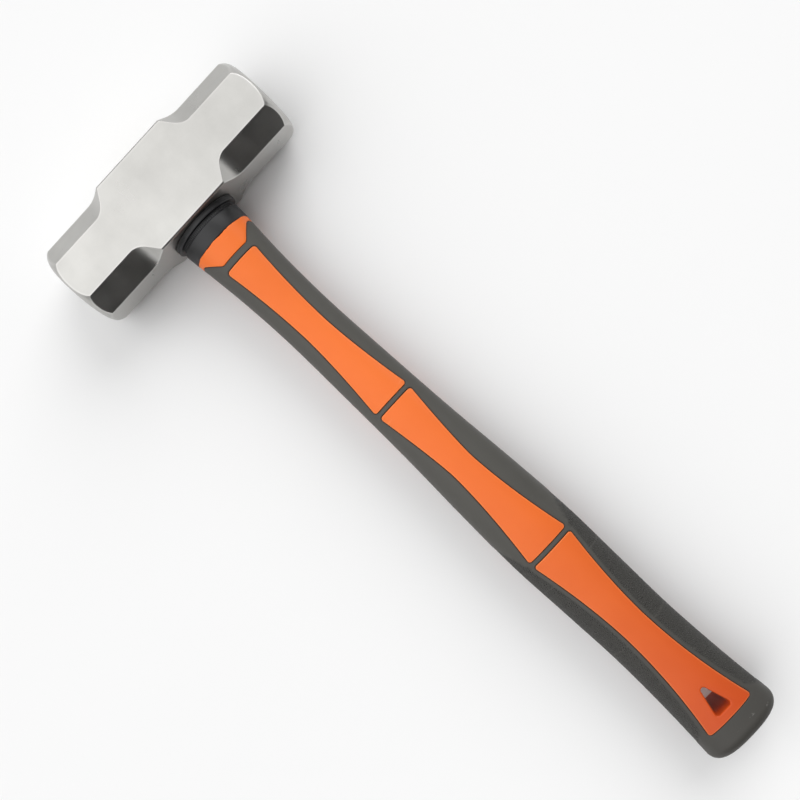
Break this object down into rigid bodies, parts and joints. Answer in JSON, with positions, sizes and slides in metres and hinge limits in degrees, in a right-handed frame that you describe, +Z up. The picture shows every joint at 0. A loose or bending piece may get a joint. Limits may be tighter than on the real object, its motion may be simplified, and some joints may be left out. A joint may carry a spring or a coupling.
{
  "type": "sledgehammer",
  "caption": "Short-handled double-faced sledgehammer: forged head with octagonal ends, rubber collar, fibreglass-cored handle with a rubber skin, raised panels and a hanging hole.",
  "frame": {"origin": "on the bench that the hammer lies on, under the handle's axis and midway along the hammer's length", "axes": "+X along the handle from the head to the butt, +Y along the head from one striking face to the other, +Z up out of the side that faces away from the bench"},
  "size_m": [0.3765, 0.124, 0.041],
  "materials": {
    "ground_steel": "forged steel, ground to a satin grey on the flats and a little darker in the scooped chamfers",
    "eye_resin": "dark cast resin with a dull, slightly dished surface",
    "fibreglass": "pultruded glass fibre in a straw-coloured resin, sawn end",
    "orange_plastic": "hard orange polypropylene with a satin moulded surface",
    "grey_rubber": "soft dark grey moulded rubber, finely pebbled where the hand goes",
    "black_rubber": "smooth black moulded rubber with a slight gloss"
  },
  "bodies": {
    "root": {"hammer_head": "ground_steel", "eye_resin": "eye_resin", "fibreglass_core": "fibreglass", "inner_handle": "orange_plastic", "grip_sleeve": "grey_rubber", "head_collar": "black_rubber"}
  },
  "joints": []
}
